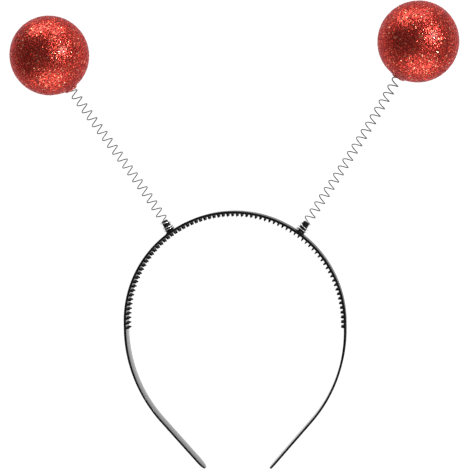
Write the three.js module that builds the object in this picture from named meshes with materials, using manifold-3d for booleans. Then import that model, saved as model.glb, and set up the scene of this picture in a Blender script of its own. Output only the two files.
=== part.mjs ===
import * as THREE from "three";
import { mergeVertices } from "three/addons/utils/BufferGeometryUtils.js";
import Module from "manifold-3d";

// Head bopper: a comb headband with a glitter ball on a coil spring at each side.
// It lies on its side, with an edge of the band and both balls on the plane z = 0.
// X runs across the head and Y from the tips of the band to its crown.
// Lengths are in millimetres and angles in degrees.

// Band, measured along the middle of its thickness
const CROWN_RADIUS = 62.8;
const TEMPLE_LENGTH = 3.8;
const SIDE_RADIUS = 80;
const SIDE_SWEEP = 41.2;
const LEG_LENGTH = 36.9;
const BAND_WIDTH = 10;
const BAND_THICKNESS = 1.4;
const LEG_WIDTH = 9.6;
const LEG_THICKNESS = 1.2;
const TAPER_LENGTH = 42;
const TIP_LENGTH = 5.5;
const TIP_END_WIDTH = 2;
const EDGE_BEVEL = 0.35;

// Comb teeth on the inside of the band, each a ridge with two prongs
const TOOTH_COUNT = 75;
const TOOTH_PITCH = 2.74;
const TOOTH_HEIGHT = 1.7;
const TOOTH_ROOT = 1.35;
const TOOTH_TIP = 0.7;
const TOOTH_INSET = 0.7;
const PRONG_WIDTH = 2.2;
const SADDLE_HEIGHT = 0.9;

// Posts that carry the springs, moulded with the band
const POST_HEIGHT = 7.2;
const POST_ROOT_RADIUS = 2.45;
const POST_TOP_RADIUS = 1.8;
const POST_DOME = 0.7;
const FOOT_RADIUS = 3.1;
const FOOT_HEIGHT = 0.4;

// Springs
const WIRE_DIAMETER = 0.6;
const OPEN_PITCH = 4.84;
const CLOSE_PITCH = 1.25;
const CLOSE_TURNS = 1;
const RAMP_TURNS = 2;
const LEFT_REACH = 118.9;
const RIGHT_REACH = 124.2;

// Balls, each with a raised ring of glue round the hole for its spring
const BALL_RADIUS = 22.1;
const SOCKET_DEPTH = 6;
const COLLAR_RADIUS = 4.1;
const COLLAR_HEIGHT = 1.1;
const COLLAR_WALL = 0.6;

// Space left between the wire and whatever it is wound on or set in
const CLEARANCE = 0.3;

// Part of its rise that a spring has made at the last of its axis's control points
const RISE_SHARE = 0.25;

// The two antennae. All angles but the last are from the crown's direction: seat is
// where the post stands on the band, lean is the way it points, bearing and reach lead
// from the seat to the middle of the ball, and entry is the way the spring meets it.
// The phase turns the spring about its own axis.
const ANTENNAE = [
  {
    side: "left", sign: -1, seat: 34.5, lean: 29.5,
    bearing: 32.3, reach: LEFT_REACH, entry: 27.2, phase: 237,
  },
  {
    side: "right", sign: 1, seat: 36.8, lean: 35,
    bearing: 32.8, reach: RIGHT_REACH, entry: 29.7, phase: 62,
  },
];

// Fineness of the facets
const CROWN_STEPS = 18;
const SIDE_STEPS = 8;
const POST_SIDES = 16;
const WIRE_SIDES = 5;
const STEPS_PER_TURN = 10;
const BALL_SIDES = 24;
const BALL_STEPS = 14;
const TIP_SHARES = [0, 0.4, 0.7, 0.9, 1];

const DEGREE = Math.PI / 180;
const BAND_MIDDLE = BAND_WIDTH / 2;
const CROWN_LENGTH = CROWN_RADIUS * Math.PI / 2;
const SIDE_START = CROWN_LENGTH + TEMPLE_LENGTH;
const LEG_START = SIDE_START + SIDE_RADIUS * SIDE_SWEEP * DEGREE;
const BAND_END = LEG_START + LEG_LENGTH;
const TIP_START = BAND_END - TIP_LENGTH;
const COMB_END = TOOTH_PITCH * (TOOTH_COUNT - 1) / 2;

const wasm = await Module();
wasm.setup();

function solid(geometry) {
  const bare = geometry.clone();
  bare.deleteAttribute("normal");
  bare.deleteAttribute("uv");
  const merged = mergeVertices(bare, 1e-4);
  return new wasm.Manifold(new wasm.Mesh({
    numProp: 3,
    vertProperties: new Float32Array(merged.attributes.position.array),
    triVerts: new Uint32Array(merged.index.array),
  }));
}

function geometryOf(manifold) {
  const mesh = manifold.getMesh();
  const geometry = new THREE.BufferGeometry();
  geometry.setAttribute("position", new THREE.BufferAttribute(mesh.vertProperties, 3));
  geometry.setIndex(new THREE.BufferAttribute(mesh.triVerts, 1));
  geometry.computeVertexNormals();
  return geometry;
}

// A closed skin through rings of points that have the same number of points
function loft(rings) {
  const size = rings[0].length;
  const positions = rings.flat().flatMap((point) => point.toArray());
  const faces = [];
  for (let row = 0; row + 1 < rings.length; row += 1) {
    for (let column = 0; column < size; column += 1) {
      const here = row * size + column;
      const beside = row * size + (column + 1) % size;
      faces.push(here, beside, here + size, beside, beside + size, here + size);
    }
  }
  const last = (rings.length - 1) * size;
  for (let column = 1; column + 1 < size; column += 1) {
    faces.push(0, column + 1, column);
    faces.push(last, last + column, last + column + 1);
  }
  const geometry = new THREE.BufferGeometry();
  geometry.setAttribute("position", new THREE.Float32BufferAttribute(positions, 3));
  geometry.setIndex(faces);
  return geometry;
}

// Place on the band's middle line at a distance from the crown, negative on the left,
// with the direction out of the head and the one towards the right tip
function bandPlace(distance) {
  const sign = distance < 0 ? -1 : 1;
  const run = Math.abs(distance);
  let turn = Math.min(run, CROWN_LENGTH) / CROWN_RADIUS;
  const point = new THREE.Vector2(CROWN_RADIUS * Math.sin(turn), CROWN_RADIUS * Math.cos(turn));
  if (run > CROWN_LENGTH) {
    point.y -= Math.min(run - CROWN_LENGTH, TEMPLE_LENGTH);
  }
  if (run > SIDE_START) {
    turn += Math.min(run - SIDE_START, LEG_START - SIDE_START) / SIDE_RADIUS;
    point.x += SIDE_RADIUS * (Math.sin(turn) - 1);
    point.y += SIDE_RADIUS * Math.cos(turn);
  }
  if (run > LEG_START) {
    point.x += (run - LEG_START) * Math.cos(turn);
    point.y -= (run - LEG_START) * Math.sin(turn);
  }
  return {
    point: new THREE.Vector3(sign * point.x, point.y, BAND_MIDDLE),
    out: new THREE.Vector3(sign * Math.sin(turn), Math.cos(turn), 0),
    along: new THREE.Vector3(Math.cos(turn), -sign * Math.sin(turn), 0),
  };
}

function smooth(share) {
  const x = THREE.MathUtils.clamp(share, 0, 1);
  return x * x * (3 - 2 * x);
}

// Width and thickness of the band: full along the comb, slimmer down the legs,
// and an oval tongue at each tip
function bandSize(run) {
  const taper = smooth((run - COMB_END) / TAPER_LENGTH);
  const tip = Math.max(0, (run - TIP_START) / TIP_LENGTH);
  const legWidth = THREE.MathUtils.lerp(BAND_WIDTH, LEG_WIDTH, taper);
  const closing = 1 - (TIP_END_WIDTH / LEG_WIDTH) ** 2;
  return {
    width: legWidth * Math.sqrt(1 - closing * tip * tip),
    thickness: THREE.MathUtils.lerp(BAND_THICKNESS, LEG_THICKNESS, taper),
  };
}

// Section of the band with its four corners bevelled
function bandRing(distance) {
  const { point, out } = bandPlace(distance);
  const { width, thickness } = bandSize(Math.abs(distance));
  const [w, t, b] = [width / 2, thickness / 2, EDGE_BEVEL];
  const corners = [
    [-t, b - w], [b - t, -w], [t - b, -w], [t, b - w],
    [t, w - b], [t - b, w], [b - t, w], [-t, w - b],
  ];
  return corners.map(([depth, height]) => {
    const corner = point.clone().addScaledVector(out, depth);
    corner.z += height;
    return corner;
  });
}

function bandSolid() {
  const stations = [];
  for (let step = 0; step <= CROWN_STEPS; step += 1) {
    stations.push(CROWN_LENGTH * step / CROWN_STEPS);
  }
  for (let step = 0; step <= SIDE_STEPS; step += 1) {
    stations.push(THREE.MathUtils.lerp(SIDE_START, LEG_START, step / SIDE_STEPS));
  }
  for (const share of TIP_SHARES) {
    stations.push(TIP_START + share * TIP_LENGTH);
  }
  const left = stations.slice(1).reverse().map((run) => -run);
  return solid(loft([...left, ...stations].map(bandRing)));
}

// One tooth seen from its end, pointing down: two prongs with a saddle between them
function toothGeometry() {
  const half = BAND_WIDTH / 2 - TOOTH_INSET;
  const inner = half - PRONG_WIDTH;
  const slope = TOOTH_HEIGHT - SADDLE_HEIGHT;
  const root = -BAND_THICKNESS / 2;
  const profile = new THREE.Shape([
    new THREE.Vector2(-half, root),
    new THREE.Vector2(half, root),
    new THREE.Vector2(half - slope / 2, TOOTH_HEIGHT),
    new THREE.Vector2(inner, TOOTH_HEIGHT),
    new THREE.Vector2(inner - slope / 2, SADDLE_HEIGHT),
    new THREE.Vector2(slope / 2 - inner, SADDLE_HEIGHT),
    new THREE.Vector2(-inner, TOOTH_HEIGHT),
    new THREE.Vector2(slope / 2 - half, TOOTH_HEIGHT),
  ]);
  const tooth = new THREE.ExtrudeGeometry(profile, { depth: 1, bevelEnabled: false });
  tooth.translate(0, 0, -0.5);
  const place = tooth.attributes.position;
  for (let index = 0; index < place.count; index += 1) {
    const rise = Math.max(0, place.getY(index)) / TOOTH_HEIGHT;
    place.setZ(index, place.getZ(index) * THREE.MathUtils.lerp(TOOTH_ROOT, TOOTH_TIP, rise));
  }
  return tooth;
}

// Matrix that stands a shape on the inside of the band, with its +Y into the head
function insideMatrix(distance) {
  const { point, out, along } = bandPlace(distance);
  const across = new THREE.Vector3(0, 0, 1);
  const matrix = new THREE.Matrix4().makeBasis(across, out.clone().negate(), along);
  return matrix.setPosition(point.addScaledVector(out, -BAND_THICKNESS / 2));
}

function directionOf(angle, sign) {
  return new THREE.Vector3(sign * Math.sin(angle * DEGREE), Math.cos(angle * DEGREE), 0);
}

// Where an antenna stands: on the outside of the band, on the middle of its width
function seatOf({ sign, seat }) {
  const { point, out } = bandPlace(sign * CROWN_RADIUS * seat * DEGREE);
  return point.addScaledVector(out, BAND_THICKNESS / 2);
}

function postRadius(height) {
  const share = THREE.MathUtils.clamp(height / POST_HEIGHT, 0, 1);
  return THREE.MathUtils.lerp(POST_ROOT_RADIUS, POST_TOP_RADIUS, share);
}

function postSolid(antenna) {
  const shoulder = POST_HEIGHT - POST_DOME;
  const profile = [
    [0, -BAND_THICKNESS / 2],
    [FOOT_RADIUS, -BAND_THICKNESS / 2],
    [FOOT_RADIUS, FOOT_HEIGHT],
    [postRadius(FOOT_HEIGHT), FOOT_HEIGHT],
    [postRadius(shoulder), shoulder],
    [postRadius(POST_HEIGHT) - POST_DOME, POST_HEIGHT],
    [0, POST_HEIGHT],
  ].map(([radius, height]) => new THREE.Vector2(radius, height));
  const post = new THREE.LatheGeometry(profile, POST_SIDES);
  const upright = new THREE.Vector3(0, 1, 0);
  const lean = directionOf(antenna.lean, antenna.sign);
  post.applyQuaternion(new THREE.Quaternion().setFromUnitVectors(upright, lean));
  post.translate(...seatOf(antenna).toArray());
  return solid(post);
}

function headbandGeometry() {
  let band = bandSolid();
  const tooth = toothGeometry();
  for (let index = 0; index < TOOTH_COUNT; index += 1) {
    const distance = TOOTH_PITCH * (index - (TOOTH_COUNT - 1) / 2);
    band = band.add(solid(tooth.clone().applyMatrix4(insideMatrix(distance))));
  }
  for (const antenna of ANTENNAE) {
    band = band.add(postSolid(antenna));
  }
  return geometryOf(band);
}

function ballCentre(antenna) {
  const way = directionOf(antenna.bearing, antenna.sign);
  const centre = seatOf(antenna).addScaledVector(way, antenna.reach);
  return centre.setZ(BALL_RADIUS);
}

// Middle line of a spring: it leaves along the post, sags a little and rises to the
// middle of the ball that rests on the floor
function springAxis(antenna) {
  const start = seatOf(antenna);
  const end = ballCentre(antenna);
  const third = antenna.reach / 3;
  const lean = directionOf(antenna.lean, antenna.sign);
  const entry = directionOf(antenna.entry, antenna.sign);
  const first = start.clone().addScaledVector(lean, third);
  const second = end.clone().addScaledVector(entry, -third);
  second.z = THREE.MathUtils.lerp(start.z, end.z, RISE_SHARE);
  const axis = new THREE.CubicBezierCurve3(start, first, second, end);
  axis.arcLengthDivisions = 400;
  return axis;
}

// Wire of a left-handed spring that winds round a post, opens out to its full pitch
// and ends in the ball
class SpringWire extends THREE.Curve {
  constructor(antenna) {
    super();
    this.axis = springAxis(antenna);
    this.phase = antenna.phase * DEGREE;
    this.start = FOOT_HEIGHT + CLEARANCE + WIRE_DIAMETER / 2;
    const socketFloor = this.axis.getLength() - BALL_RADIUS + SOCKET_DEPTH;
    this.end = socketFloor - CLEARANCE - WIRE_DIAMETER / 2;
    const closeLength = CLOSE_TURNS * CLOSE_PITCH;
    const rampLength = RAMP_TURNS * (CLOSE_PITCH + OPEN_PITCH) / 2;
    const openLength = this.end - this.start - closeLength - rampLength;
    this.turns = CLOSE_TURNS + RAMP_TURNS + openLength / OPEN_PITCH;
    this.arcLengthDivisions = Math.ceil(this.turns * STEPS_PER_TURN * 4);
  }

  // Distance along the axis after a number of turns
  advance(turn) {
    const share = THREE.MathUtils.clamp((turn - CLOSE_TURNS) / RAMP_TURNS, 0, 1);
    const ramp = RAMP_TURNS * (share ** 3 - share ** 4 / 2);
    const open = Math.max(0, turn - CLOSE_TURNS - RAMP_TURNS);
    return this.start + turn * CLOSE_PITCH + (OPEN_PITCH - CLOSE_PITCH) * (ramp + open);
  }

  getPoint(t, target = new THREE.Vector3()) {
    const turn = t * this.turns;
    const distance = this.advance(turn);
    const place = distance / this.axis.getLength();
    const tangent = this.axis.getTangentAt(place);
    const side = new THREE.Vector3(0, 0, 1).cross(tangent).normalize();
    const lift = tangent.clone().cross(side);
    const angle = this.phase - turn * 2 * Math.PI;
    const radius = springRadius(distance);
    target.copy(this.axis.getPointAt(place));
    target.addScaledVector(side, radius * Math.cos(angle));
    return target.addScaledVector(lift, radius * Math.sin(angle));
  }
}

// Radius of the spring's middle line: its flat facets clear the post
function springRadius(distance) {
  const clear = postRadius(distance) + CLEARANCE + WIRE_DIAMETER / 2;
  return clear / Math.cos(Math.PI / STEPS_PER_TURN);
}

function springGeometry(antenna) {
  const wire = new SpringWire(antenna);
  const section = [];
  for (let corner = 0; corner < WIRE_SIDES; corner += 1) {
    const angle = corner * 2 * Math.PI / WIRE_SIDES;
    const point = new THREE.Vector2(Math.cos(angle), Math.sin(angle));
    section.push(point.multiplyScalar(WIRE_DIAMETER / 2));
  }
  return new THREE.ExtrudeGeometry(new THREE.Shape(section), {
    steps: Math.round(wire.turns * STEPS_PER_TURN),
    extrudePath: wire,
  });
}

function ballGeometry() {
  const socketRadius = springRadius(POST_HEIGHT) + WIRE_DIAMETER / 2 + CLEARANCE;
  const rim = Math.asin(COLLAR_RADIUS / BALL_RADIUS);
  const profile = [];
  for (let step = 0; step <= BALL_STEPS; step += 1) {
    const angle = THREE.MathUtils.lerp(Math.PI, rim, step / BALL_STEPS);
    profile.push(new THREE.Vector2(Math.sin(angle), Math.cos(angle)).multiplyScalar(BALL_RADIUS));
  }
  profile[0].x = 0;
  const collarTop = BALL_RADIUS + COLLAR_HEIGHT;
  const socketFloor = BALL_RADIUS - SOCKET_DEPTH;
  profile.push(new THREE.Vector2(socketRadius + COLLAR_WALL, collarTop));
  profile.push(new THREE.Vector2(socketRadius, collarTop));
  profile.push(new THREE.Vector2(socketRadius, socketFloor));
  profile.push(new THREE.Vector2(0, socketFloor));
  return new THREE.LatheGeometry(profile, BALL_SIDES);
}

const plastic = new THREE.MeshStandardMaterial({ color: 0x0b0b0d, roughness: 0.25, metalness: 0 });
const steel = new THREE.MeshStandardMaterial({ color: 0xb9bbc0, roughness: 0.25, metalness: 1 });
const glitter = new THREE.MeshStandardMaterial({ color: 0xb5120f, roughness: 0.45, metalness: 0.6 });

function named(name, geometry, material) {
  const mesh = new THREE.Mesh(geometry, material);
  mesh.name = name;
  return mesh;
}

function ballMesh(antenna) {
  const ball = named(`ball_${antenna.side}`, ballGeometry(), glitter);
  const centre = ballCentre(antenna);
  const axis = springAxis(antenna);
  const middleOfSocket = BALL_RADIUS - SOCKET_DEPTH / 2;
  const hole = axis.getPointAt(1 - middleOfSocket / axis.getLength()).sub(centre);
  ball.quaternion.setFromUnitVectors(new THREE.Vector3(0, 1, 0), hole.normalize());
  ball.position.copy(centre);
  return ball;
}

const pieces = new THREE.Group();
pieces.add(named("headband", headbandGeometry(), plastic));
for (const antenna of ANTENNAE) {
  pieces.add(named(`spring_${antenna.side}`, springGeometry(antenna), steel));
  pieces.add(ballMesh(antenna));
}

// The origin is under the middle of the part
const headBopper = new THREE.Group();
headBopper.add(pieces);
headBopper.updateMatrixWorld(true);
const middle = new THREE.Box3().setFromObject(pieces, true).getCenter(new THREE.Vector3());
pieces.position.set(-middle.x, -middle.y, 0);

export default headBopper;
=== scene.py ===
import math

import bmesh
import bpy
import numpy as np
from mathutils import Matrix, Quaternion, Vector


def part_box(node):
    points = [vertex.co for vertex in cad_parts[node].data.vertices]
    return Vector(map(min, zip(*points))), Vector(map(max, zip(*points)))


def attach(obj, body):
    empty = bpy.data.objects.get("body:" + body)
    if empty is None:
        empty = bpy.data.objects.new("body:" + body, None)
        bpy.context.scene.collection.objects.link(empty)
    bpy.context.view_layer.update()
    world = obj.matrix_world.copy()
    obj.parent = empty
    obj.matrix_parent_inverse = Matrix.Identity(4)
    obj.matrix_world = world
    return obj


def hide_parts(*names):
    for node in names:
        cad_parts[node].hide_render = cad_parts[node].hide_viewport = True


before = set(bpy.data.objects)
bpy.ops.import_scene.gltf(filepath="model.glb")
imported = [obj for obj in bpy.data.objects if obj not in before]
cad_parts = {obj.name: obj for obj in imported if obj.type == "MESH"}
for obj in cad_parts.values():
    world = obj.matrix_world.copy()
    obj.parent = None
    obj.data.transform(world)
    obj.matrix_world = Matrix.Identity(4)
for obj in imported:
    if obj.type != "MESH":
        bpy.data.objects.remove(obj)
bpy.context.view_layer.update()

# All lengths are in metres and all angles in degrees
MM = 0.001

# Headband, measured along the middle of its thickness
CROWN_RADIUS = 62.8 * MM
TEMPLE_LENGTH = 3.8 * MM
SIDE_RADIUS = 80 * MM
SIDE_SWEEP = 41.2
LEG_LENGTH = 36.9 * MM
BAND_WIDTH = 10 * MM
BAND_THICKNESS = 1.4 * MM
LEG_WIDTH = 9.6 * MM
LEG_THICKNESS = 1.2 * MM
TAPER_LENGTH = 42 * MM
TIP_LENGTH = 5.5 * MM
TIP_END_WIDTH = 2 * MM
EDGE_RADIUS = 0.18 * MM

# Comb teeth on the inside of the band, each a ridge with two prongs. The fullness is how
# much of its half thickness rounds over a tooth.
TOOTH_COUNT = 75
TOOTH_PITCH = 2.74 * MM
TOOTH_HEIGHT = 1.7 * MM
TOOTH_ROOT = 1.35 * MM
TOOTH_TIP = 0.7 * MM
TOOTH_INSET = 0.7 * MM
PRONG_WIDTH = 2.2 * MM
SADDLE_HEIGHT = 0.9 * MM
TOOTH_ROUNDING = 0.2 * MM
TOOTH_FULLNESS = 0.95

# Posts that carry the springs, each with a fillet at its foot and a rounded top
POST_HEIGHT = 7.2 * MM
POST_ROOT_RADIUS = 2.45 * MM
POST_TOP_RADIUS = 1.8 * MM
POST_DOME = 0.7 * MM
FOOT_RADIUS = 3.1 * MM
FOOT_HEIGHT = 0.4 * MM
FILLET_START = 0.5
DOME_SPREAD = 1.6

# Springs. The slack is how much wider than its post's clearance asks the coil runs, and
# the rise share the part of its rise made at the last control point of a spring's axis.
WIRE_DIAMETER = 0.6 * MM
OPEN_PITCH = 4.84 * MM
CLOSE_PITCH = 1.25 * MM
CLOSE_TURNS = 1
RAMP_TURNS = 2
CLEARANCE = 0.3 * MM
COIL_SLACK = 0.12 * MM
RISE_SHARE = 0.25

# Balls and the ring of glue round each hole
BALL_RADIUS = 22.1 * MM
SOCKET_DEPTH = 6 * MM
COLLAR_RADIUS = 4.1 * MM
COLLAR_HEIGHT = 1.1 * MM

# The two antennae. All angles but the last are from the crown's direction: seat is where
# the post stands on the band, lean is the way it points, bearing and reach lead from the
# seat to the middle of the ball, and entry is the way the spring meets it. The phase turns
# the spring about its own axis.
ANTENNAE = [
    {
        "side": "left", "sign": -1, "seat": 34.5, "lean": 29.5,
        "bearing": 32.3, "reach": 118.9 * MM, "entry": 27.2, "phase": 237,
    },
    {
        "side": "right", "sign": 1, "seat": 36.8, "lean": 35,
        "bearing": 32.8, "reach": 124.2 * MM, "entry": 29.7, "phase": 62,
    },
]

# Glitter flakes: how many on a ball, their size and its spread, how far they stand out of
# the ball at the least and the most, how deep their roots are, how much they are tilted on
# average, with the shape and scale of that tilt's spread, and how far they are pushed out
# of even spacing, as a share of it
FLAKE_COUNT = 19000
FLAKE_RADIUS = 0.38 * MM
FLAKE_SPREAD = (0.7, 1.12)
FLAKE_LIFT = (-0.13 * MM, 0.08 * MM)
FLAKE_ROOT = 0.9 * MM
FLAKE_TILT = 6
TILT_SPREAD = (2.0, 0.5)
FLAKE_CORNERS = 6
FLAKE_SCATTER = 0.35

# Bead of glue: the share of its height that is rounded, how many waves each of its lumps
# makes round it, and their least and most height as a share of the bead's thickness
BEAD_CROWN = 0.65
LUMP_WAVES = (2, 3, 5, 7)
LUMP_HEIGHT = (0.03, 0.1)

# Seed of the left antenna's random draws. The right one's is one more.
FIRST_SEED = 7

# Angles past which an edge stays sharp in the shading
HEADBAND_SHARP = 40
COIL_SHARP = 50
GLUE_SHARP = 60

# Size and tilt of the small facets in the shading of the flakes and of the dust between
# them, and the tint of both towards the edge of a ball
GLINT_CELL = 0.33 * MM
GLINT_TILT = 0.4
DUST_CELL = 0.22 * MM
DUST_TILT = 0.6
EDGE_TINT = (0.9, 0.55, 0.58, 1)

# Clear coat over both, their roughness, and the glue's roughness and coat
GLITTER_COAT = 0.15
GLITTER_COAT_ROUGHNESS = 0.25
FLAKE_ROUGHNESS = (0.1, 0.28)
DUST_ROUGHNESS = 0.35
GLUE_ROUGHNESS = 0.25
GLUE_COAT = 0.5

# How dull the plastic is, from 0 for polished to 1, on the teeth, the posts, the band's
# outer face and edges, and its inner face
TOOTH_DULLNESS = 1
POST_DULLNESS = 0.7
OUTER_DULLNESS = 0.8
INNER_DULLNESS = 0.15

# The plastic's roughness from unmarked to scuffed where it is polished and where it is
# dull, and how strongly it mirrors and how thick its coat is, from polished to dull
POLISHED_ROUGHNESS = (0.1, 0.2)
DULL_ROUGHNESS = (0.38, 0.5)
PLASTIC_SPECULAR = (0.7, 0.01)
PLASTIC_COAT = (0.15, 0)

# How bright the steel is where painted shade darkens it, past the posts, and where it keeps its own
# bright tone, on the posts, and how rough
PAINTED_SHADE_STEEL = (0.04, 0.09)
BARE_STEEL = (0.6, 0.75)
STEEL_ROUGHNESS = (0.25, 0.4)

# Depths of the plastic's flow lines and grain, the wire's streaks and the glue's lumps, and
# the ranges of noise over which scuffs and patches pass from least to most
FLOW_DEPTH = 0.25 * MM
GRAIN_DEPTH = 0.01 * MM
STREAK_DEPTH = 0.02 * MM
CLOUD_DEPTH = 0.15 * MM
SCUFF_RANGE = (0.35, 0.75)
PATCH_RANGE = (0.3, 0.7)

CROWN_LENGTH = CROWN_RADIUS * math.pi / 2
SIDE_START = CROWN_LENGTH + TEMPLE_LENGTH
LEG_START = SIDE_START + SIDE_RADIUS * math.radians(SIDE_SWEEP)
BAND_END = LEG_START + LEG_LENGTH
TIP_START = BAND_END - TIP_LENGTH
COMB_END = TOOTH_PITCH * (TOOTH_COUNT - 1) / 2

# The middle of the crown's arc, where the frame has it
band_low, band_high = (Vector(corner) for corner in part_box("headband"))
HOOP_CENTRE = Vector((
    (band_low.x + band_high.x) / 2,
    band_high.y - CROWN_RADIUS - BAND_THICKNESS / 2,
    (band_low.z + band_high.z) / 2,
))


def mix(start, end, share):
    return start + (end - start) * share


def smooth(share):
    x = min(max(share, 0.0), 1.0)
    return x * x * (3 - 2 * x)


def new_object(name, vertices, faces):
    mesh = bpy.data.meshes.new(name)
    mesh.from_pydata([tuple(v) for v in vertices], [], [tuple(f) for f in faces])
    mesh.update()
    piece = bpy.data.objects.new(name, mesh)
    bpy.context.scene.collection.objects.link(piece)
    return piece


# Vertices and faces of a closed skin through rings of points, closed round and at both ends
def skin(rings, offset=0):
    size = len(rings[0])
    faces = []
    for row in range(len(rings) - 1):
        for column in range(size):
            here = offset + row * size + column
            beside = offset + row * size + (column + 1) % size
            faces.append((here, beside, beside + size, here + size))
    last = offset + (len(rings) - 1) * size
    faces.append(tuple(range(offset + size - 1, offset - 1, -1)))
    faces.append(tuple(range(last, last + size)))
    return [point for ring in rings for point in ring], faces


# Place on the band's middle line at a distance from the crown, negative on the left,
# with the direction out of the head and the one towards the right tip
def band_place(distance):
    sign = -1 if distance < 0 else 1
    run = abs(distance)
    turn = min(run, CROWN_LENGTH) / CROWN_RADIUS
    x = CROWN_RADIUS * math.sin(turn)
    y = CROWN_RADIUS * math.cos(turn)
    if run > CROWN_LENGTH:
        y -= min(run - CROWN_LENGTH, TEMPLE_LENGTH)
    if run > SIDE_START:
        turn += min(run - SIDE_START, LEG_START - SIDE_START) / SIDE_RADIUS
        x += SIDE_RADIUS * (math.sin(turn) - 1)
        y += SIDE_RADIUS * math.cos(turn)
    if run > LEG_START:
        x += (run - LEG_START) * math.cos(turn)
        y -= (run - LEG_START) * math.sin(turn)
    point = HOOP_CENTRE + Vector((sign * x, y, 0))
    out = Vector((sign * math.sin(turn), math.cos(turn), 0))
    along = Vector((math.cos(turn), -sign * math.sin(turn), 0))
    return point, out, along


# Width and thickness of the band at a distance from the crown
def band_size(run):
    taper = smooth((run - COMB_END) / TAPER_LENGTH)
    tip = max(0.0, (run - TIP_START) / TIP_LENGTH)
    leg_width = mix(BAND_WIDTH, LEG_WIDTH, taper)
    closing = 1 - (TIP_END_WIDTH / LEG_WIDTH) ** 2
    width = leg_width * math.sqrt(1 - closing * tip * tip)
    return width, mix(BAND_THICKNESS, LEG_THICKNESS, taper)


# Corner points of a rectangle with rounded corners, counter-clockwise
def rounded_rectangle(width, height, radius, steps=4):
    points = []
    for corner in range(4):
        across = 1 if corner in (0, 3) else -1
        up = 1 if corner in (0, 1) else -1
        for step in range(steps + 1):
            angle = math.radians(90 * (corner + step / steps))
            points.append((
                across * (width / 2 - radius) + radius * math.cos(angle),
                up * (height / 2 - radius) + radius * math.sin(angle),
            ))
    return points


# Cross-sections of the band from its left tip to its right one, as rings of points, and
# how dull the plastic is at each point
def band_rings():
    step_length = 1.3 * MM
    steps = math.ceil(TIP_START / step_length)
    runs = [TIP_START * step / steps for step in range(steps + 1)]
    tip_steps = 14
    runs += [
        TIP_START + TIP_LENGTH * math.sin(math.radians(90 * step / tip_steps))
        for step in range(1, tip_steps + 1)
    ]
    rings = []
    dullness = []
    for distance in [-run for run in reversed(runs[1:])] + runs:
        point, out, along = band_place(distance)
        width, thickness = band_size(abs(distance))
        section = rounded_rectangle(thickness, width, EDGE_RADIUS)
        rings.append([point + out * depth + Vector((0, 0, height)) for depth, height in section])
        inner_face = (EDGE_RADIUS - thickness) / 2
        dullness += [
            INNER_DULLNESS if depth < inner_face else OUTER_DULLNESS for depth, height in section
        ]
    return rings, dullness


# Outline of a tooth seen along the band: across the band's width, then into the head
def tooth_outline():
    half = BAND_WIDTH / 2 - TOOTH_INSET
    inner = half - PRONG_WIDTH
    slope = (TOOTH_HEIGHT - SADDLE_HEIGHT) / 2
    return [
        (-half, 0), (-half + slope, TOOTH_HEIGHT), (-inner, TOOTH_HEIGHT),
        (-inner + slope, SADDLE_HEIGHT), (inner - slope, SADDLE_HEIGHT),
        (inner, TOOTH_HEIGHT), (half - slope, TOOTH_HEIGHT), (half, 0),
    ]


# The same outline with its corners rounded, each by no more than its sides have room for
def tooth_profile():
    outline = tooth_outline()
    steps = 4
    room = 1 / 2.2
    points = [Vector(outline[0])]
    for before, corner, after in zip(outline, outline[1:], outline[2:]):
        corner = Vector(corner)
        towards_before = Vector(before) - corner
        towards_after = Vector(after) - corner
        shortest = min(towards_before.length, towards_after.length)
        cut = min(2 * TOOTH_ROUNDING, shortest * room)
        start = corner + towards_before.normalized() * cut
        end = corner + towards_after.normalized() * cut
        for step in range(steps + 1):
            share = step / steps
            rest = 1 - share
            points.append(start * rest ** 2 + corner * 2 * share * rest + end * share ** 2)
    points.append(Vector(outline[-1]))
    return points


# A tooth's skin: at each point of its profile, a cross-section along the band that
# narrows from root to top and is rounded over
def tooth_skin(distance, offset):
    point, out, along = band_place(distance)
    root = point - out * (BAND_THICKNESS / 2 - EDGE_RADIUS)
    round_steps = 6
    rings = []
    for across, height in tooth_profile():
        rise = height / TOOTH_HEIGHT
        half = mix(TOOTH_ROOT, TOOTH_TIP, rise) / 2
        radius = half * TOOTH_FULLNESS
        ring = [(-TOOTH_ROOT / 2, 0.0)]
        top = max(height + EDGE_RADIUS, radius)
        for step in range(round_steps + 1):
            angle = math.radians(180 * (1 - step / round_steps))
            ring.append((
                math.copysign(half - radius, math.cos(angle)) + radius * math.cos(angle),
                top - radius + radius * math.sin(angle),
            ))
        ring.append((TOOTH_ROOT / 2, 0.0))
        rings.append([
            root + along * side - out * depth + Vector((0, 0, across))
            for side, depth in ring
        ])
    return skin(rings, offset)


def direction_of(angle, sign):
    turn = math.radians(angle)
    return Vector((sign * math.sin(turn), math.cos(turn), 0))


# Where an antenna stands: on the outside of the band, on the middle of its width
def seat_of(antenna):
    point, out, along = band_place(antenna["sign"] * CROWN_RADIUS * math.radians(antenna["seat"]))
    return point + out * (BAND_THICKNESS / 2)


def post_radius(height):
    share = min(max(height / POST_HEIGHT, 0.0), 1.0)
    return mix(POST_ROOT_RADIUS, POST_TOP_RADIUS, share)


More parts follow.
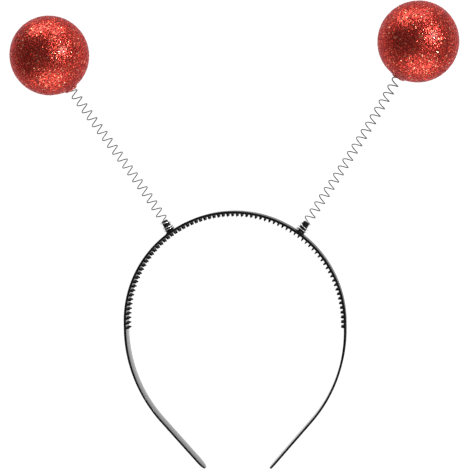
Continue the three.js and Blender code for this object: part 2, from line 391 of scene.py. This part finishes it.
# Skin of a post: a round foot with a fillet, a tapered shank and a rounded top
def post_skin(antenna, offset):
    sides = 48
    profile = [(FOOT_RADIUS, -BAND_THICKNESS / 2), (FOOT_RADIUS, FOOT_HEIGHT * FILLET_START)]
    fillet_steps = 5
    run = FOOT_RADIUS - post_radius(0)
    for step in range(fillet_steps + 1):
        angle = math.radians(90 * step / fillet_steps)
        profile.append((
            FOOT_RADIUS - run * math.sin(angle),
            FOOT_HEIGHT * mix(FILLET_START, 1, 1 - math.cos(angle)),
        ))
    shoulder = POST_HEIGHT - POST_DOME
    shank_steps = 5
    for step in range(1, shank_steps + 1):
        height = mix(FOOT_HEIGHT, shoulder, step / shank_steps)
        profile.append((post_radius(height), height))
    top = post_radius(shoulder)
    dome_steps = 8
    for step in range(1, dome_steps + 1):
        angle = math.radians(90 * step / dome_steps)
        profile.append((
            top - POST_DOME * DOME_SPREAD * (1 - math.cos(angle)),
            shoulder + POST_DOME * math.sin(angle),
        ))
    lean = direction_of(antenna["lean"], antenna["sign"])
    up = Vector((0, 0, 1))
    side = lean.cross(up)
    seat = seat_of(antenna)
    rings = []
    for radius, height in profile:
        rings.append([
            seat + lean * height
            + side * (radius * math.cos(2 * math.pi * corner / sides))
            + up * (radius * math.sin(2 * math.pi * corner / sides))
            for corner in range(sides)
        ])
    return skin(rings, offset)


# The headband's skins, with how dull the plastic is at each point
def make_headband():
    rings, dullness = band_rings()
    vertices, faces = skin(rings)
    for index in range(TOOTH_COUNT):
        distance = TOOTH_PITCH * (index - (TOOTH_COUNT - 1) / 2)
        more, extra = tooth_skin(distance, len(vertices))
        vertices += more
        faces += extra
        dullness += [TOOTH_DULLNESS] * len(more)
    for antenna in ANTENNAE:
        more, extra = post_skin(antenna, len(vertices))
        vertices += more
        faces += extra
        dullness += [POST_DULLNESS] * len(more)
    piece = new_object("headband_moulding", vertices, faces)
    piece.data.attributes.new("dullness", "FLOAT", "POINT").data.foreach_set("value", dullness)
    tidy_normals(piece, HEADBAND_SHARP)
    return piece


# Outward faces, smooth but for the edges sharper than an angle in degrees
def tidy_normals(piece, angle):
    mesh = piece.data
    build = bmesh.new()
    build.from_mesh(mesh)
    bmesh.ops.recalc_face_normals(build, faces=build.faces)
    build.to_mesh(mesh)
    build.free()
    mesh.shade_smooth()
    mesh.set_sharp_from_angle(angle=math.radians(angle))


def ball_centre(antenna):
    centre = seat_of(antenna) + direction_of(antenna["bearing"], antenna["sign"]) * antenna["reach"]
    centre.z = BALL_RADIUS
    return centre


# Middle line of a spring as points on a curve from its post into its ball, with the
# distance along it of each
def spring_axis(antenna):
    count = 2001
    start = seat_of(antenna)
    end = ball_centre(antenna)
    third = antenna["reach"] / 3
    first = start + direction_of(antenna["lean"], antenna["sign"]) * third
    second = end - direction_of(antenna["entry"], antenna["sign"]) * third
    second.z = mix(start.z, end.z, RISE_SHARE)
    corners = np.array([start, first, second, end])
    share = np.linspace(0, 1, count)[:, None]
    rest = 1 - share
    weights = np.hstack([rest ** 3, 3 * rest ** 2 * share, 3 * rest * share ** 2, share ** 3])
    points = weights @ corners
    lengths = np.linalg.norm(np.diff(points, axis=0), axis=1)
    return points, np.concatenate([[0], np.cumsum(lengths)])


def axis_point(axis, distance):
    points, lengths = axis
    return np.stack([np.interp(distance, lengths, points[:, k]) for k in range(3)], axis=-1)


# Distance along the axis after a number of turns of the wire
def wire_advance(start, turn):
    share = np.clip((turn - CLOSE_TURNS) / RAMP_TURNS, 0, 1)
    ramp = RAMP_TURNS * (share ** 3 - share ** 4 / 2)
    opened = np.maximum(0, turn - CLOSE_TURNS - RAMP_TURNS)
    return start + turn * CLOSE_PITCH + (OPEN_PITCH - CLOSE_PITCH) * (ramp + opened)


# Radius of the coil, at the middle of its wire, at a distance from its post's foot
def coil_radius(distance):
    share = np.clip(distance / POST_HEIGHT, 0, 1)
    post = mix(POST_ROOT_RADIUS, POST_TOP_RADIUS, share)
    return post + CLEARANCE + WIRE_DIAMETER / 2 + COIL_SLACK


# Rows of vectors made one unit long
def unit(rows):
    return rows / np.linalg.norm(rows, axis=-1, keepdims=True)


# A coil spring of round wire, wound left-handed from the post's foot into the ball, with how
# far each point is clear of painted shade: bright steel on the post, painted dark past it
def make_spring(antenna):
    axis = spring_axis(antenna)
    start = FOOT_HEIGHT + CLEARANCE + WIRE_DIAMETER / 2
    end = axis[1][-1] - BALL_RADIUS + SOCKET_DEPTH - CLEARANCE - WIRE_DIAMETER / 2
    closing = CLOSE_TURNS * CLOSE_PITCH + RAMP_TURNS * (CLOSE_PITCH + OPEN_PITCH) / 2
    turns = CLOSE_TURNS + RAMP_TURNS + (end - start - closing) / OPEN_PITCH
    steps_per_turn = 32
    wire_sides = 10
    count = int(turns * steps_per_turn) + 1
    turn = np.linspace(0, turns, count)
    distance = wire_advance(start, turn)
    middle = axis_point(axis, distance)
    step = 0.05 * MM
    tangent = unit(axis_point(axis, distance + step) - axis_point(axis, distance - step))
    side = unit(np.cross([0, 0, 1], tangent))
    lift = np.cross(tangent, side)
    angle = math.radians(antenna["phase"]) - turn * 2 * math.pi
    radius = coil_radius(distance)[:, None]
    outward = side * np.cos(angle)[:, None] + lift * np.sin(angle)[:, None]
    wire = middle + outward * radius
    heading = unit(np.gradient(wire, axis=0))
    binormal = unit(np.cross(heading, outward))
    normal = np.cross(binormal, heading)
    corners = [2 * math.pi * corner / wire_sides for corner in range(wire_sides)]
    half = WIRE_DIAMETER / 2
    rings = []
    for place, first, second in zip(wire, normal, binormal):
        rings.append([
            Vector(place + first * half * math.cos(corner) + second * half * math.sin(corner))
            for corner in corners
        ])
    vertices, faces = skin(rings)
    piece = new_object(f"coil_{antenna['side']}", vertices, faces)
    # Painted shade: the wire keeps its bright steel on the post and is painted dark past it
    on_post = 1 - np.clip((distance - POST_HEIGHT) / CLOSE_PITCH, 0, 1)
    clear_of_painted_shade = np.repeat(on_post, wire_sides)
    piece.data.attributes.new("clear_of_painted_shade", "FLOAT", "POINT").data.foreach_set("value", clear_of_painted_shade)
    tidy_normals(piece, COIL_SHARP)
    return piece


# Radius of the hole in which a spring ends
def hole_radius():
    return float(coil_radius(POST_HEIGHT)) + WIRE_DIAMETER / 2 + CLEARANCE


# Turn that brings the pole of a ball to where its spring goes in
def facing(antenna):
    axis = spring_axis(antenna)
    middle_of_socket = BALL_RADIUS - SOCKET_DEPTH / 2
    hole = axis_point(axis, axis[1][-1] - middle_of_socket) - np.array(ball_centre(antenna))
    return Vector((0, 0, 1)).rotation_difference(Vector(hole))


# The ball's core: a sphere with a blind hole for the spring
def core_skin(antenna, offset):
    sides = 64
    rise = 32
    hole = hole_radius()
    rim = math.asin(hole / BALL_RADIUS)
    profile = []
    for step in range(1, rise + 1):
        angle = mix(math.pi, rim, step / rise)
        profile.append((BALL_RADIUS * math.sin(angle), BALL_RADIUS * math.cos(angle)))
    profile.append((hole, BALL_RADIUS - SOCKET_DEPTH))
    turn = facing(antenna)
    centre = ball_centre(antenna)
    rings = []
    for radius, height in profile:
        rings.append([
            centre + turn @ Vector((
                radius * math.cos(2 * math.pi * corner / sides),
                radius * math.sin(2 * math.pi * corner / sides),
                height,
            ))
            for corner in range(sides)
        ])
    return skin(rings, offset)


# Evenly spread directions on a sphere, each pushed a little at random
def spread_directions(count, random):
    index = np.arange(count) + 0.5
    height = 1 - 2 * index / count
    golden_ratio = (1 + 5 ** 0.5) / 2
    turn = 2 * np.pi * golden_ratio * index
    flat = np.sqrt(1 - height ** 2)
    points = np.stack([flat * np.cos(turn), flat * np.sin(turn), height], axis=1)
    push = random.normal(0, FLAKE_SCATTER, points.shape) * math.sqrt(4 * math.pi / count)
    return unit(points + push)


# Glitter: hexagonal flakes stuck on at random tilts, each with its root in the core, and
# their number
def flake_skin(antenna, offset, random):
    directions = spread_directions(FLAKE_COUNT, random)
    turn = np.array(facing(antenna).to_matrix())
    pole = turn @ np.array([0, 0, 1])
    clear = (directions @ pole) < math.cos(math.asin(COLLAR_RADIUS / BALL_RADIUS))
    directions = directions[clear]
    count = len(directions)
    reference = unit(np.cross(directions, random.normal(0, 1, directions.shape)))
    other = np.cross(directions, reference)
    spread = np.radians(FLAKE_TILT) * random.gamma(*TILT_SPREAD, count)
    way = random.uniform(0, 2 * np.pi, count)
    lean = reference * np.cos(way)[:, None] + other * np.sin(way)[:, None]
    normal = unit(directions * np.cos(spread)[:, None] + lean * np.sin(spread)[:, None])
    first = unit(np.cross(normal, reference))
    second = np.cross(normal, first)
    size = FLAKE_RADIUS * random.uniform(*FLAKE_SPREAD, count)
    lift = random.uniform(*FLAKE_LIFT, count)
    centre = np.array(ball_centre(antenna))
    middle = centre + directions * (BALL_RADIUS + lift)[:, None]
    corners = []
    for corner in range(FLAKE_CORNERS):
        angle = 2 * np.pi * corner / FLAKE_CORNERS
        towards = first * math.cos(angle) + second * math.sin(angle)
        corners.append(middle + towards * size[:, None])
    root = centre + directions * (BALL_RADIUS - FLAKE_ROOT)
    block = np.stack(corners + [root], axis=1)
    stride = FLAKE_CORNERS + 1
    vertices = block.reshape(-1, 3)
    faces = []
    for index in range(count):
        base = offset + index * stride
        faces.append(tuple(base + corner for corner in range(FLAKE_CORNERS)))
        for corner in range(FLAKE_CORNERS):
            beside = (corner + 1) % FLAKE_CORNERS
            faces.append((base + beside, base + corner, base + FLAKE_CORNERS))
    return vertices, faces, count


# A ball: its core and its flakes, with a random shade and polish for each flake
def make_ball(antenna, seed):
    random = np.random.default_rng(seed)
    vertices, faces = core_skin(antenna, 0)
    core_faces = len(faces)
    more, extra, count = flake_skin(antenna, len(vertices), random)
    name = f"glitter_ball_{antenna['side']}"
    piece = new_object(name, list(vertices) + list(more), faces + extra)
    mesh = piece.data
    per_flake = FLAKE_CORNERS + 1
    slots = np.zeros(len(mesh.polygons), dtype=np.int32)
    slots[core_faces:] = 1
    mesh.polygons.foreach_set("material_index", slots)
    smooth_faces = np.zeros(len(mesh.polygons), dtype=bool)
    smooth_faces[:core_faces] = True
    mesh.polygons.foreach_set("use_smooth", smooth_faces)
    for name in ("shade", "polish"):
        values = np.zeros(len(mesh.polygons), dtype=np.float32)
        values[core_faces:] = np.repeat(random.uniform(0, 1, count), per_flake)
        mesh.attributes.new(name, "FLOAT", "FACE").data.foreach_set("value", values)
    mesh.update()
    return piece


# A lumpy bead of glue round the hole of a ball
def make_glue(antenna, seed):
    random = np.random.default_rng(seed)
    sides = 64
    around = 20
    hole = hole_radius()
    middle = (hole + COLLAR_RADIUS) / 2
    half = (COLLAR_RADIUS - hole) / 2
    waves = [
        (count, random.uniform(0, 2 * math.pi), random.uniform(*LUMP_HEIGHT))
        for count in LUMP_WAVES
    ]
    turn = facing(antenna)
    centre = ball_centre(antenna)
    seat = math.sqrt(BALL_RADIUS ** 2 - COLLAR_RADIUS ** 2)
    rings = []
    for step in range(sides):
        way = 2 * math.pi * step / sides
        lump = sum(size * math.sin(count * way + start) for count, start, size in waves)
        ring = []
        for corner in range(around):
            angle = 2 * math.pi * corner / around
            radius = middle + half * (1 + lump) * math.cos(angle)
            height = seat + COLLAR_HEIGHT * (1 - BEAD_CROWN + (BEAD_CROWN + lump) * math.sin(angle))
            place = Vector((radius * math.cos(way), radius * math.sin(way), height))
            ring.append(centre + turn @ place)
        rings.append(ring)
    vertices = [point for ring in rings for point in ring]
    faces = []
    for row in range(sides):
        start = row * around
        ahead = ((row + 1) % sides) * around
        for corner in range(around):
            beside = (corner + 1) % around
            faces.append((start + corner, start + beside, ahead + beside, ahead + corner))
    piece = new_object(f"glue_{antenna['side']}", vertices, faces)
    tidy_normals(piece, GLUE_SHARP)
    return piece


# A node material with its shader and a helper that adds and links nodes
class Finish:
    def __init__(self, name):
        self.material = bpy.data.materials.new(name)
        self.material.use_nodes = True
        self.tree = self.material.node_tree
        self.shader = self.tree.nodes["Principled BSDF"]

    def node(self, kind, **values):
        node = self.tree.nodes.new(kind)
        for key, value in values.items():
            setattr(node, key, value)
        return node

    def link(self, output, socket):
        self.tree.links.new(output, socket)

    def texture(self, kind, scale):
        place = self.node("ShaderNodeTexCoord")
        texture = self.node(kind)
        texture.inputs["Scale"].default_value = scale
        self.link(place.outputs["Object"], texture.inputs["Vector"])
        return texture

    def noise(self, scale, detail, roughness=0.5):
        texture = self.texture("ShaderNodeTexNoise", scale)
        texture.inputs["Detail"].default_value = detail
        texture.inputs["Roughness"].default_value = roughness
        return texture.outputs["Fac"]

    def attribute(self, name):
        return self.node("ShaderNodeAttribute", attribute_name=name).outputs["Fac"]

    def remap(self, output, low, high, start=0, end=1):
        remap = self.node("ShaderNodeMapRange")
        remap.inputs["From Min"].default_value = start
        remap.inputs["From Max"].default_value = end
        remap.inputs["To Min"].default_value = low
        remap.inputs["To Max"].default_value = high
        self.link(output, remap.inputs["Value"])
        return remap.outputs["Result"]

    def blend(self, share, first, second):
        blend = self.node("ShaderNodeMix")
        for output, socket in ((share, "Factor"), (first, "A"), (second, "B")):
            self.link(output, blend.inputs[socket])
        return blend.outputs["Result"]

    def ramp(self, output, stops):
        ramp = self.node("ShaderNodeValToRGB")
        elements = ramp.color_ramp.elements
        while len(elements) < len(stops):
            elements.new(0.5)
        for element, (position, color) in zip(elements, stops):
            element.position = position
            element.color = (*color, 1)
        self.link(output, ramp.inputs["Fac"])
        return ramp.outputs["Color"]

    def bump(self, output, distance, strength, under=None):
        bump = self.node("ShaderNodeBump")
        bump.inputs["Strength"].default_value = strength
        bump.inputs["Distance"].default_value = distance
        self.link(output, bump.inputs["Height"])
        if under is not None:
            self.link(under, bump.inputs["Normal"])
        return bump.outputs["Normal"]

    # Shading normals tilted at random in small cells, as on packed specks
    def facets(self, cell, tilt):
        cells = self.texture("ShaderNodeTexVoronoi", 1 / cell)
        place = self.node("ShaderNodeNewGeometry")
        centred = self.node("ShaderNodeVectorMath", operation="SUBTRACT")
        centred.inputs[1].default_value = (0.5, 0.5, 0.5)
        scaled = self.node("ShaderNodeVectorMath", operation="SCALE")
        scaled.inputs["Scale"].default_value = tilt
        added = self.node("ShaderNodeVectorMath", operation="ADD")
        whole = self.node("ShaderNodeVectorMath", operation="NORMALIZE")
        self.link(cells.outputs["Color"], centred.inputs[0])
        self.link(centred.outputs["Vector"], scaled.inputs[0])
        self.link(scaled.outputs["Vector"], added.inputs[0])
        self.link(place.outputs["Normal"], added.inputs[1])
        self.link(added.outputs["Vector"], whole.inputs[0])
        return whole.outputs["Vector"]

    def set(self, **values):
        for key, value in values.items():
            self.shader.inputs[key.replace("_", " ")].default_value = value


# Black moulded plastic with faint scuffs, flow lines and a fine grain, as polished or dull
# as the "dullness" of each point says
def plastic_finish():
    finish = Finish("band_plastic")
    dullness = finish.attribute("dullness")
    scuffs = finish.noise(scale=900, detail=4, roughness=0.6)
    blotches = finish.noise(scale=60, detail=2)
    tone = finish.ramp(blotches, [
        (0.3, (0.0015, 0.0015, 0.002)),
        (0.7, (0.003, 0.003, 0.0035)),
    ])
    finish.link(tone, finish.shader.inputs["Base Color"])
    polished = finish.remap(scuffs, *POLISHED_ROUGHNESS, *SCUFF_RANGE)
    dull = finish.remap(scuffs, *DULL_ROUGHNESS, *SCUFF_RANGE)
    finish.link(finish.blend(dullness, polished, dull), finish.shader.inputs["Roughness"])
    mirror = finish.remap(dullness, *PLASTIC_SPECULAR)
    finish.link(mirror, finish.shader.inputs["Specular IOR Level"])
    coat = finish.remap(dullness, *PLASTIC_COAT)
    finish.link(coat, finish.shader.inputs["Coat Weight"])
    waves = finish.bump(blotches, FLOW_DEPTH, strength=0.3)
    specks = finish.noise(scale=4000, detail=2)
    grain = finish.bump(specks, GRAIN_DEPTH, strength=0.4, under=waves)
    finish.link(grain, finish.shader.inputs["Normal"])
    finish.set(IOR=1.53, Coat_Roughness=0.12)
    return finish.material


# Drawn steel wire: its own bright steel where it is wound round a post, and past it painted dark
# with painted shade that stands for the coil's dark reflections
def steel_finish():
    finish = Finish("spring_steel")
    clear_of_painted_shade = finish.attribute("clear_of_painted_shade")
    streaks = finish.noise(scale=1400, detail=3, roughness=0.6)
    patches = finish.noise(scale=180, detail=2)
    # Painted shade: the open coil's steel is made dark to stand for its dark reflections
    painted_dark_steel = finish.remap(patches, *PAINTED_SHADE_STEEL, *PATCH_RANGE)
    own_bright_steel = finish.remap(patches, *BARE_STEEL, *PATCH_RANGE)
    finish.link(finish.blend(clear_of_painted_shade, painted_dark_steel, own_bright_steel), finish.shader.inputs["Base Color"])
    finish.link(finish.remap(streaks, *STEEL_ROUGHNESS), finish.shader.inputs["Roughness"])
    finish.link(finish.bump(streaks, STREAK_DEPTH, strength=0.4), finish.shader.inputs["Normal"])
    finish.set(Metallic=1.0)
    return finish.material


# Fine red dust between the flakes, its tone darkened as painted shade in the gaps between them
def dust_and_shade_finish():
    finish = Finish("red_dust_and_painted_shade")
    # Partly the dust's own red, partly painted shade: kept dark so the gaps between flakes read as
    # shade
    tone = finish.ramp(finish.noise(scale=1500, detail=3), [
        (0.35, (0.14, 0.009, 0.008)),
        (0.65, (0.38, 0.035, 0.026)),
    ])
    finish.link(tone, finish.shader.inputs["Base Color"])
    finish.link(finish.facets(DUST_CELL, DUST_TILT), finish.shader.inputs["Normal"])
    finish.set(Metallic=1.0, Roughness=DUST_ROUGHNESS, Specular_Tint=EDGE_TINT)
    finish.set(Coat_Weight=GLITTER_COAT, Coat_Roughness=GLITTER_COAT_ROUGHNESS)
    return finish.material


# Metallic red flakes, each with its own tone and polish
def flake_finish():
    finish = Finish("red_glitter")
    tone = finish.ramp(finish.attribute("shade"), [
        (0.0, (0.32, 0.025, 0.02)),
        (0.4, (0.62, 0.044, 0.03)),
        (0.85, (0.82, 0.085, 0.05)),
        (0.96, (0.92, 0.3, 0.16)),
        (1.0, (1.0, 0.66, 0.42)),
    ])
    finish.link(tone, finish.shader.inputs["Base Color"])
    polish = finish.remap(finish.attribute("polish"), *FLAKE_ROUGHNESS)
    finish.link(polish, finish.shader.inputs["Roughness"])
    finish.link(finish.facets(GLINT_CELL, GLINT_TILT), finish.shader.inputs["Normal"])
    finish.set(Metallic=1.0, Specular_Tint=EDGE_TINT)
    finish.set(Coat_Weight=GLITTER_COAT, Coat_Roughness=GLITTER_COAT_ROUGHNESS)
    return finish.material


# Cloudy hot glue, thick with red dust
def glue_finish():
    finish = Finish("hot_glue")
    clouds = finish.noise(scale=700, detail=3)
    tone = finish.ramp(clouds, [
        (0.35, (0.25, 0.02, 0.015)),
        (0.65, (0.5, 0.09, 0.07)),
    ])
    finish.link(tone, finish.shader.inputs["Base Color"])
    finish.link(finish.bump(clouds, CLOUD_DEPTH, strength=0.5), finish.shader.inputs["Normal"])
    finish.set(Roughness=GLUE_ROUGHNESS, Coat_Weight=GLUE_COAT)
    return finish.material


# Pale board that glows with painted light, brightest under the part: a painted pool of light that
# hides the shadows on it
def floor_finish():
    finish = Finish("pale_floor")
    place = finish.node("ShaderNodeTexCoord")
    away = finish.node("ShaderNodeVectorMath", operation="LENGTH")
    finish.link(place.outputs["Object"], away.inputs[0])
    # Painted light: the floor's emission, strongest under the part so that no shadow shows
    glow = finish.remap(
        away.outputs["Value"], GLOW_MIDDLE, GLOW_FAR, GLOW_NEAR_RADIUS, GLOW_FAR_RADIUS
    )
    finish.link(glow, finish.shader.inputs["Emission Strength"])
    tone = finish.ramp(finish.noise(scale=40, detail=3), [
        (0.3, (0.05, 0.05, 0.05)),
        (0.7, (0.08, 0.08, 0.08)),
    ])
    finish.link(tone, finish.shader.inputs["Base Color"])
    finish.set(Roughness=0.7, Emission_Color=(1, 1, 1, 1))
    return finish.material


# Gives a piece its materials and its place on the part, and hides the solid that it stands for
def dress(piece, finishes, node):
    for finish in finishes:
        piece.data.materials.append(finish)
    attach(piece, "root")
    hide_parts(node)


def build_pieces():
    plastic = plastic_finish()
    steel = steel_finish()
    dust_and_shade = dust_and_shade_finish()
    flakes = flake_finish()
    glue = glue_finish()
    dress(make_headband(), [plastic], "headband")
    for seed, antenna in enumerate(ANTENNAE, start=FIRST_SEED):
        side = antenna["side"]
        dress(make_spring(antenna), [steel], f"spring_{side}")
        dress(make_ball(antenna, seed), [dust_and_shade, flakes], f"ball_{side}")
        dress(make_glue(antenna, seed), [glue], f"ball_{side}")


# The photograph's view: how high the camera is over the floor, where it stands beside the
# crown's middle, the point of the floor that it aims at, and how far it is twisted
CAMERA_HEIGHT = 0.847
CAMERA_BESIDE_CROWN = Vector((0.09318, 0.10893, 0))
AIM_BESIDE_CROWN = Vector((-0.0003, 0.04944, 0))
CAMERA_TWIST = -0.91
LENS_MM = 114.51
SENSOR_MM = 36


def make_camera():
    data = bpy.data.cameras.new("camera")
    data.lens = LENS_MM
    data.sensor_width = SENSOR_MM
    camera = bpy.data.objects.new("camera", data)
    bpy.context.scene.collection.objects.link(camera)
    twist = Quaternion((0, 0, 1), math.radians(CAMERA_TWIST))
    floor_centre = Vector((HOOP_CENTRE.x, HOOP_CENTRE.y, 0))
    place = floor_centre + twist @ CAMERA_BESIDE_CROWN
    place.z = CAMERA_HEIGHT
    aim = floor_centre + twist @ AIM_BESIDE_CROWN - place
    turn = Vector((0, 0, -1)).rotation_difference(aim)
    camera.matrix_world = Matrix.LocRotScale(place, turn @ twist, None)
    bpy.context.scene.camera = camera


# Half the floor's width, how much painted glow it gives under the part and far from it, and
# how far from the middle the glow begins and ends its fall, and the strength of the sky
FLOOR_HALF = 3.0
GLOW_MIDDLE = 1.0
GLOW_FAR = 0.45
GLOW_NEAR_RADIUS = 0.19
GLOW_FAR_RADIUS = 0.32
SKY_STRENGTH = 0.26

# Softboxes: where each stands, the point that it faces, its width and height in metres
# and its power in watts. The strips are low and far off, for the sides of the balls.
ORIGIN = (0, 0, 0)
SOFTBOXES = {
    "front_softbox": ((0.3, -1.1, 0.62), ORIGIN, (2.0, 1.05), 7.5),
    "front_strip": ((0.1, -1.9, 0.24), ORIGIN, (2.8, 0.36), 17.5),
    "back_left_softbox": ((-0.45, 1.0, 0.2), ORIGIN, (0.4, 0.25), 2.6),
    "back_right_softbox": ((0.3, 1.0, 0.35), ORIGIN, (0.25, 0.2), 2.2),
    "back_strip": ((0, 1.9, 0.17), ORIGIN, (1.9, 0.3), 12),
    "right_softbox": ((0.82, 0.33, 0.8), (0, 0.1, 0), (0.2, 0.2), 11.5),
}


def add_softbox(name, place, aim, size, power):
    light = bpy.data.lights.new(name, "AREA")
    light.shape = "RECTANGLE"
    light.size, light.size_y = size
    light.energy = power
    lamp = bpy.data.objects.new(name, light)
    bpy.context.scene.collection.objects.link(lamp)
    turn = Vector((0, 0, -1)).rotation_difference(Vector(aim) - Vector(place))
    lamp.matrix_world = Matrix.LocRotScale(Vector(place), turn, None)


def make_studio():
    corners = [(-1, -1), (1, -1), (1, 1), (-1, 1)]
    floor = new_object(
        "floor", [(x * FLOOR_HALF, y * FLOOR_HALF, 0) for x, y in corners], [(0, 1, 2, 3)]
    )
    floor.data.materials.append(floor_finish())
    world = bpy.data.worlds.new("studio")
    world.use_nodes = True
    background = world.node_tree.nodes["Background"]
    background.inputs["Color"].default_value = (1, 1, 1, 1)
    background.inputs["Strength"].default_value = SKY_STRENGTH
    bpy.context.scene.world = world
    bpy.context.scene.view_settings.view_transform = "Standard"
    for name, setting in SOFTBOXES.items():
        add_softbox(name, *setting)


build_pieces()
make_camera()
make_studio()
